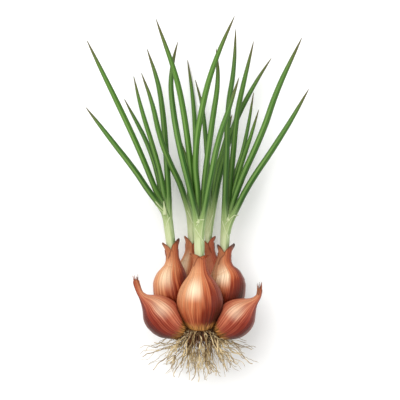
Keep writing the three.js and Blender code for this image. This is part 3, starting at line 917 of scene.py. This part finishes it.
def makeRoots(name):
    node = name + "_roots"
    mesh = weldedCopy(node)
    tips = [v for v in mesh.verts if len(v.link_edges) == 4
            and max(edge.calc_length() for edge in v.link_edges) < 0.6 * mm]
    pieces = []
    for tip in tips:
        rings = ringsFrom(tip, 4)[::-1]
        points = [ring[0] for ring in rings]
        points.insert(0, points[0] + (points[0] - points[1]).normalized() * 3 * mm)
        radius = dice.uniform(*rootShape["stout"])
        pieces.append(strand(points, radius, 8, 36, rootShape["ending"], dice.random() * 0.4,
                             rootShape["sway"]))
        for _ in range(rootShape["fine"]):
            shift = Vector([dice.uniform(-1, 1) for _ in range(3)])
            count = dice.randint(3, len(points))
            wander = [point + shift * rootShape["spread"] * (i / len(points)) ** 1.2
                      for i, point in enumerate(points[:count])]
            wander = [Vector((p.x, p.y, max(p.z, 0.6 * mm))) for p in wander]
            pieces.append(strand(wander, dice.uniform(*rootShape["thin"]), 6, 20, rootShape["ending"],
                                 dice.random(), rootShape["sway"] * 1.3))
    mesh.free()
    if name == "front":
        pieces += frontFan()
    finish(joined(node + "_tangle", pieces), rootMaterial, "root", node)


# pale young roots that spread out from under the edge of the front bulb's base
def frontFan():
    low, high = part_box("front_bulb")
    rim = (high.x - low.x) / 2 * fan["share"]
    centre = Vector(((low.x + high.x) / 2, low.y + 0.5 * mm, (low.z + high.z) / 2 - 6.5 * mm))
    strands = []
    for i in range(fan["count"]):
        angle = math.radians(fan["width"]) * (2 * i / (fan["count"] - 1) - 1 + dice.uniform(-0.05, 0.05))
        side, lift = math.sin(angle), math.cos(angle)
        start = centre + Vector((side * rim, 1.5 * mm, lift * rim * 0.9))
        reach = dice.uniform(*fan["reach"]) * (1 - 0.25 * abs(side))
        outward = side * reach * fan["spread"] * dice.uniform(0.3, 0.8)
        tip = start + Vector((outward, -reach, -lift * 4 * mm))
        bend = start.lerp(tip, 0.3) + Vector((side * 2 * mm, 0, lift * 1.5 * mm))
        strands.append(strand([start, bend, tip], dice.uniform(*fan["radius"]), 8, 34, rootShape["ending"],
                              0, rootShape["sway"], None, fan["age"]))
    return strands


for name in plants + sideBulbs:
    makeRoots(name)
print("roots")

crownShape = {"core": 12.5 * mm, "lumps": 0.35, "below": 5 * mm, "fibres": 170, "spread": 11 * mm,
              "length": (7 * mm, 26 * mm), "radius": (0.18 * mm, 0.42 * mm), "sway": 2.2 * mm}
beard = {"count": 230, "half": 16 * mm, "droop": 7 * mm, "reach": (5 * mm, 17 * mm),
         "radius": (0.16 * mm, 0.34 * mm), "sway": 1.6 * mm}


def makeCrown():
    low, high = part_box("crown")
    pieces = []
    core = smoothLine([Vector((crownMiddle.x, low.y - crownShape["below"], crownMiddle.z)), crownMiddle,
                       Vector((crownMiddle.x, high.y, crownMiddle.z))], mm)

    def coreAt(share, angle):
        place = Vector((math.cos(angle) * 2, math.sin(angle) * 2, share * 5))
        lumps = 1 + crownShape["lumps"] * noise.noise(place)
        return crownShape["core"] * math.sin(math.pi * min(share, 0.97)) ** 0.6 * lumps

    body = drawnBall("core", core, coreAt, 24, 16)
    addSubdivision(body, 1)
    applyAll(body)
    pieces.append(body)
    for _ in range(crownShape["fibres"]):
        angle = dice.uniform(0, 2 * math.pi)
        out = dice.uniform(0.2, 1.0) ** 0.6
        ray = Vector((math.cos(angle), 0, math.sin(angle) * 1.15))
        start = crownMiddle + ray * crownShape["spread"] * out + Vector((0, -2 * mm, 0))
        reach = dice.uniform(*crownShape["length"]) * (1.1 - 0.45 * out)
        tip = start + (Vector((0, -1, 0)) + ray * dice.uniform(0, 0.8)).normalized() * reach
        bend = start.lerp(tip, 0.5) + ray * dice.uniform(-1, 2) * mm
        pieces.append(strand([start, bend, tip], dice.uniform(*crownShape["radius"]), 6, 12, 0.4,
                             dice.random() * 0.6, crownShape["sway"]))
    low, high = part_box("front_bulb")
    base = Vector(((low.x + high.x) / 2, low.y, (low.z + high.z) / 2))
    for _ in range(beard["count"]):
        aside = dice.uniform(-1, 1)
        start = base + Vector((aside * beard["half"], dice.uniform(0, 4 * mm), dice.uniform(-14, 6) * mm))
        start.z -= abs(aside) * beard["droop"]
        reach = dice.uniform(*beard["reach"]) * (1.1 - 0.5 * abs(aside))
        tip = start + Vector((aside * reach * dice.uniform(0.2, 1.1), -reach, dice.uniform(-4, 2) * mm))
        pieces.append(strand([start, start.lerp(tip, 0.5) + Vector((0, 0, 0.8 * mm)), tip],
                             dice.uniform(*beard["radius"]), 6, 12, 0.4, dice.random() * 0.5,
                             beard["sway"]))
    finish(joined("crown_fibres", pieces), fibreMaterial, "crown", "crown")
    finish(joined("base_hairs", hairs), hairMaterial, "crown")


makeCrown()
print("crown")


# floor, light and camera

studio = {"lens": 300, "sensor": 36, "view": 0.344, "focus": 55 * mm, "aside": 0.7 * mm,
          "floor": "fbfbfa", "floorDark": "e9e8e4", "world": 0.8}
lamps = {
    "key": {"place": (-0.42, 0.36, 1.2), "size": 1.0, "power": 13},
    "rim": {"place": (0.9, -0.1, 0.35), "size": 0.5, "power": 2.5},
}


def makeStudio():
    bpy.ops.mesh.primitive_plane_add(size=6)
    floor = bpy.context.object
    floor.name = "floor"
    material, tree, shader = startMaterial("paleFloor", 0.9)
    place = addNode(tree, "ShaderNodeTexCoord").outputs["Object"]
    cloud = addNode(tree, "ShaderNodeTexNoise", None, {"Vector": place, "Scale": 3.0})
    body = tinted(tree, colour(studio["floor"]), cloud.outputs[0], 0.1, studio["floorDark"])
    tree.links.new(body, shader.inputs["Base Color"])
    floor.data.materials.append(material)
    world = bpy.data.worlds.new("studio")
    bpy.context.scene.world = world
    world.use_nodes = True
    sky = world.node_tree.nodes["Background"]
    sky.inputs["Color"].default_value = (1, 1, 1, 1)
    sky.inputs["Strength"].default_value = studio["world"]
    for name, light in lamps.items():
        bpy.ops.object.light_add(type="AREA", location=light["place"])
        lamp = bpy.context.object
        lamp.name = name
        lamp.data.size = light["size"]
        lamp.data.energy = light["power"]
        lamp.rotation_euler = (-Vector(light["place"])).to_track_quat("-Z", "Y").to_euler()
    low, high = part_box("front_stem")
    centre = Vector(((low.x + high.x) / 2 + studio["aside"], 0, studio["focus"]))
    bpy.ops.object.camera_add(location=centre + up * studio["view"] / studio["sensor"] * studio["lens"])
    camera = bpy.context.object
    camera.data.lens = studio["lens"]
    camera.data.sensor_width = studio["sensor"]
    camera.data.clip_end = 20
    bpy.context.scene.camera = camera
    bpy.context.scene.view_settings.view_transform = "Standard"


makeStudio()
only(*templates.values())
bpy.ops.object.delete()
